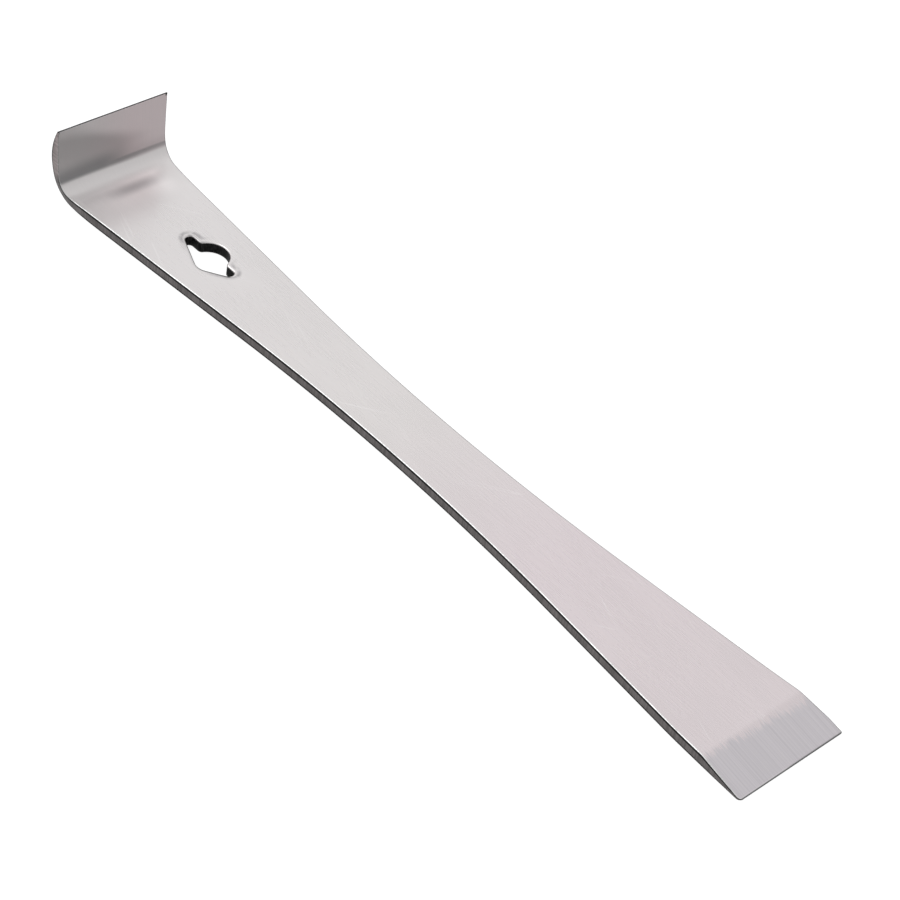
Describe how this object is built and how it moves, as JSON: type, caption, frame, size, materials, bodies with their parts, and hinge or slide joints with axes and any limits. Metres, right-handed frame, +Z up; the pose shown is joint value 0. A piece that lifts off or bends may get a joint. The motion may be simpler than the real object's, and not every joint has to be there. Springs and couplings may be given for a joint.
{
  "type": "hive tool",
  "caption": "Flat steel hive tool with an upturned hook at one end, a waisted shank with a keyhole nail puller, and a flared scraping blade.",
  "frame": {"origin": "middle of the bounding box in plan, on the flat underside that the tool lies on", "axes": "+X along the bar from the hook to the blade, +Y across the bar, +Z up, the way the hook stands"},
  "size_m": [0.266, 0.038, 0.023],
  "materials": {
    "satin_steel": "satin faces with fine lengthwise grinding on the blade's bevel, sheared edges darker"
  },
  "bodies": {
    "root": {"hive_tool": "satin_steel"}
  },
  "joints": []
}
